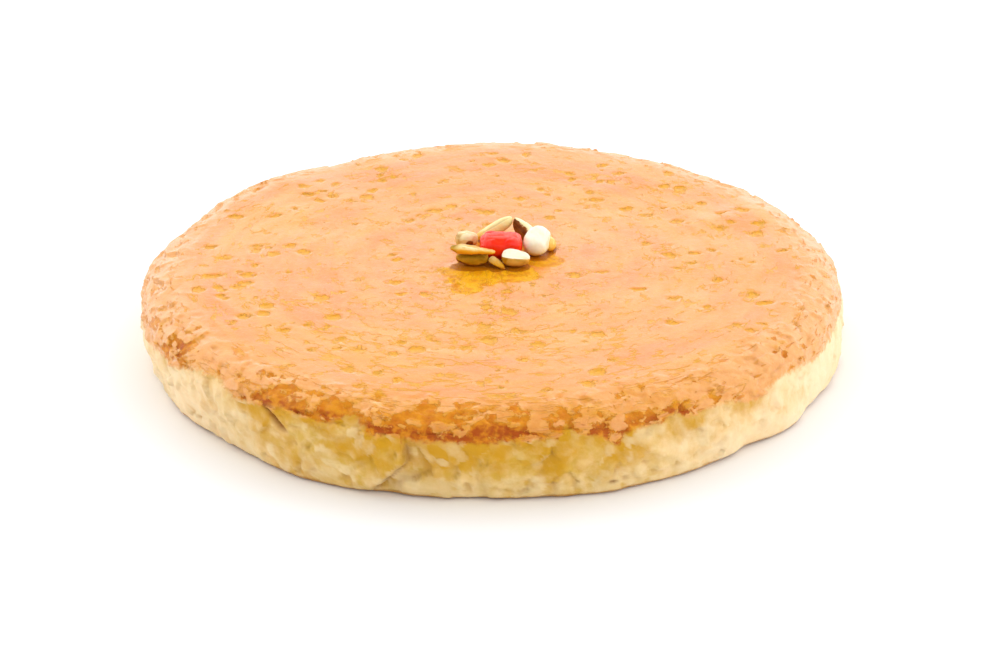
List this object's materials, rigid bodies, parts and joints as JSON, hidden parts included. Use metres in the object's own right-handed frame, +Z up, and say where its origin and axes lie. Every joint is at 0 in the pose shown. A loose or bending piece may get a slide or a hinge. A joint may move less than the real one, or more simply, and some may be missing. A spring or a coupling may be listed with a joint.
{
  "type": "coconut macaroon cake",
  "caption": "Low round coconut macaroon cake, pale moist side, browned shiny glazed top, with a candied cherry and pistachio kernels in the middle.",
  "frame": {"origin": "centre of the cake's flat underside", "axes": "+Z up through the cake's middle; -Y is the pictured front"},
  "size_m": [0.2634, 0.266, 0.0395],
  "materials": {
    "cake": "moist baked coconut, pale at the side, amber brown under a clear shiny glaze on top",
    "cherry": "candied, translucent red, wet shine",
    "kernel": "pale cream to yellow-green nut flesh with patches of brown skin, lightly syruped"
  },
  "bodies": {
    "root": {"cake": "cake", "cherry": "cherry", "kernel_front_left_upper": "kernel", "kernel_front_left_lower": "kernel", "kernel_left": "kernel", "kernel_back_left": "kernel", "kernel_back_right": "kernel", "kernel_right": "kernel", "kernel_far_right": "kernel", "kernel_front_right": "kernel", "kernel_front_sliver": "kernel"}
  },
  "joints": []
}
